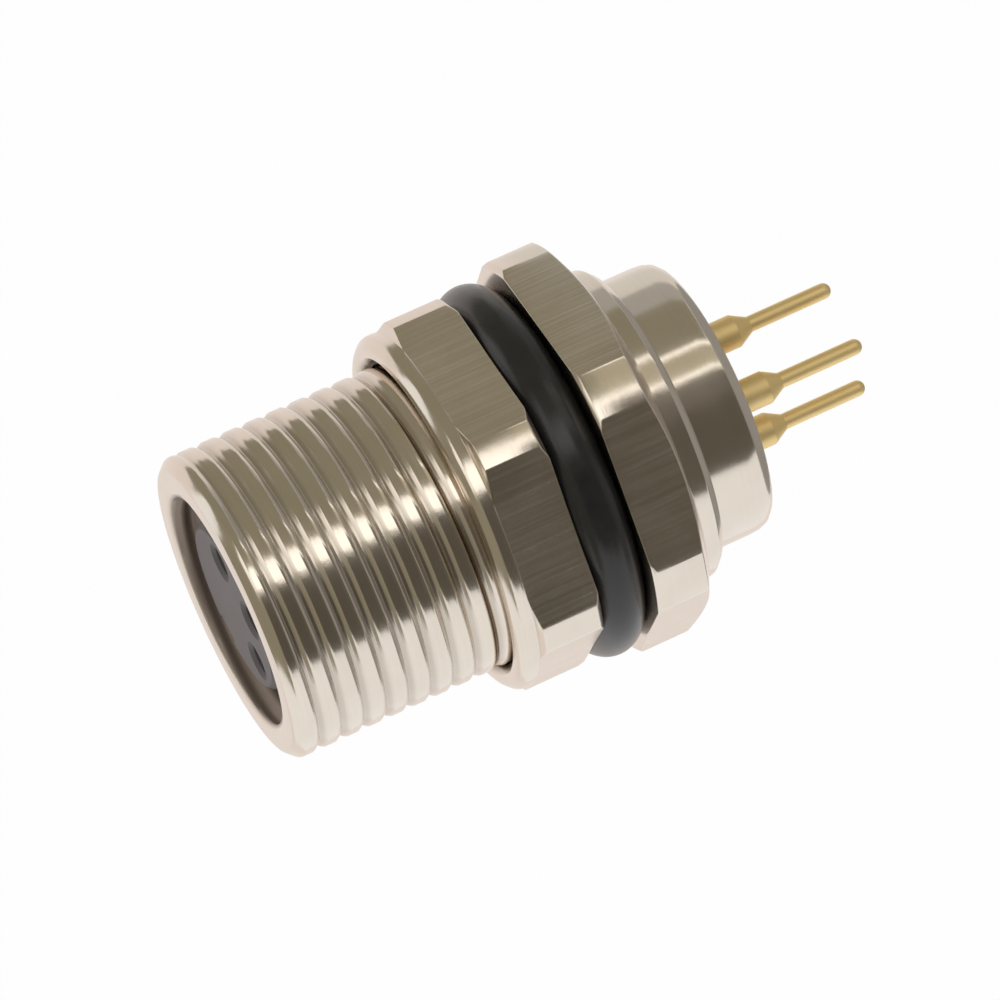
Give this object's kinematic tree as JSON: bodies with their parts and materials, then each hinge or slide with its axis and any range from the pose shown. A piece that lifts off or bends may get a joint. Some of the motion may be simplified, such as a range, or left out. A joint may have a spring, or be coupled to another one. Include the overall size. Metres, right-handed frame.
{
  "type": "circular sensor flange receptacle",
  "caption": "Round panel receptacle for sensor cables: threaded metal barrel with a socket insert, hexagon flange, panel nut, rubber seal and solder tails.",
  "frame": {"origin": "centre of the flange face that meets the panel", "axes": "+Z along the connector's axis towards the mating face; -Y through a corner of the hexagon flange"},
  "size_m": [0.0122, 0.013, 0.0211],
  "materials": {
    "nickel_shell": "turned brass under bright nickel plating",
    "nickel_nut": "milled brass under bright nickel plating",
    "gold_contact": "turned brass under gold plating",
    "grey_moulding": "moulded, satin",
    "black_moulding": "moulded, satin",
    "black_rubber": "moulded rubber, slightly oily"
  },
  "bodies": {
    "receptacle": {"shell": "nickel_shell", "contact_carrier": "grey_moulding", "carrier_seal": "black_rubber", "contact_1": "gold_contact", "contact_2": "gold_contact", "contact_3": "gold_contact", "rear_insulator": "black_moulding", "panel_o_ring": "black_rubber"},
    "nut": {"panel_nut": "nickel_nut"}
  },
  "joints": [
    {"name": "nut_travel", "type": "slide", "parent": "receptacle", "child": "nut", "axis": [0, 0, 1], "range_m": [0, 0.0105]}
  ]
}
